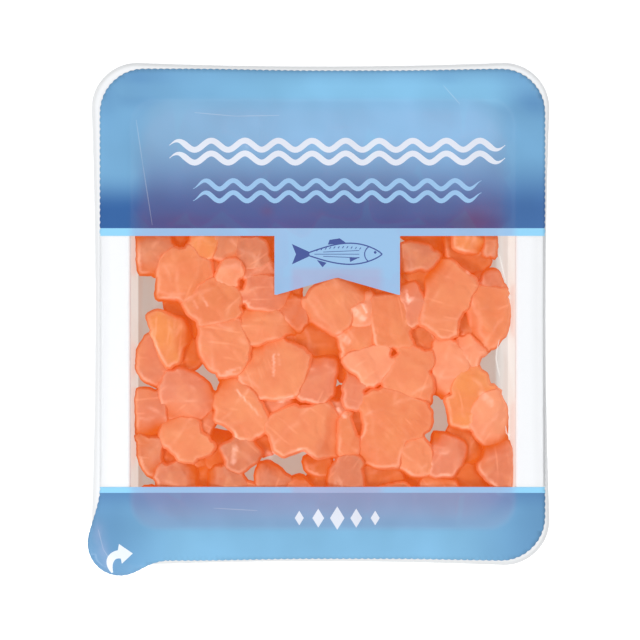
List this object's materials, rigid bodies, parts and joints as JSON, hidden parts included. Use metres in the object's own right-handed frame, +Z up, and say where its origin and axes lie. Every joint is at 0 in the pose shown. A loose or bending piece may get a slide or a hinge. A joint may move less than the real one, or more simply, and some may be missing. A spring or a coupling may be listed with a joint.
{
  "type": "pack of smoked salmon cubes",
  "caption": "Sealed food pack: a white plastic tray with a wide flange, filled with cubes of smoked salmon under a printed clear lidding film with a peel tab.",
  "frame": {"origin": "centre of the flat face under the tray, which it rests on", "axes": "+Z up through the film; +Y along the pack's long side, towards the wide printed band; +X to the right seen from above with the band at the top"},
  "size_m": [0.1266, 0.1406, 0.0143],
  "materials": {
    "tray_plastic": "smooth white thermoformed sheet with a soft sheen",
    "salmon_flesh": "moist orange fish flesh with pale lines, softly shining",
    "lidding_film": "thin glossy clear film, printed in blue at both ends"
  },
  "bodies": {
    "root": {"tray": "tray_plastic", "salmon": "salmon_flesh", "film": "lidding_film"}
  },
  "joints": []
}
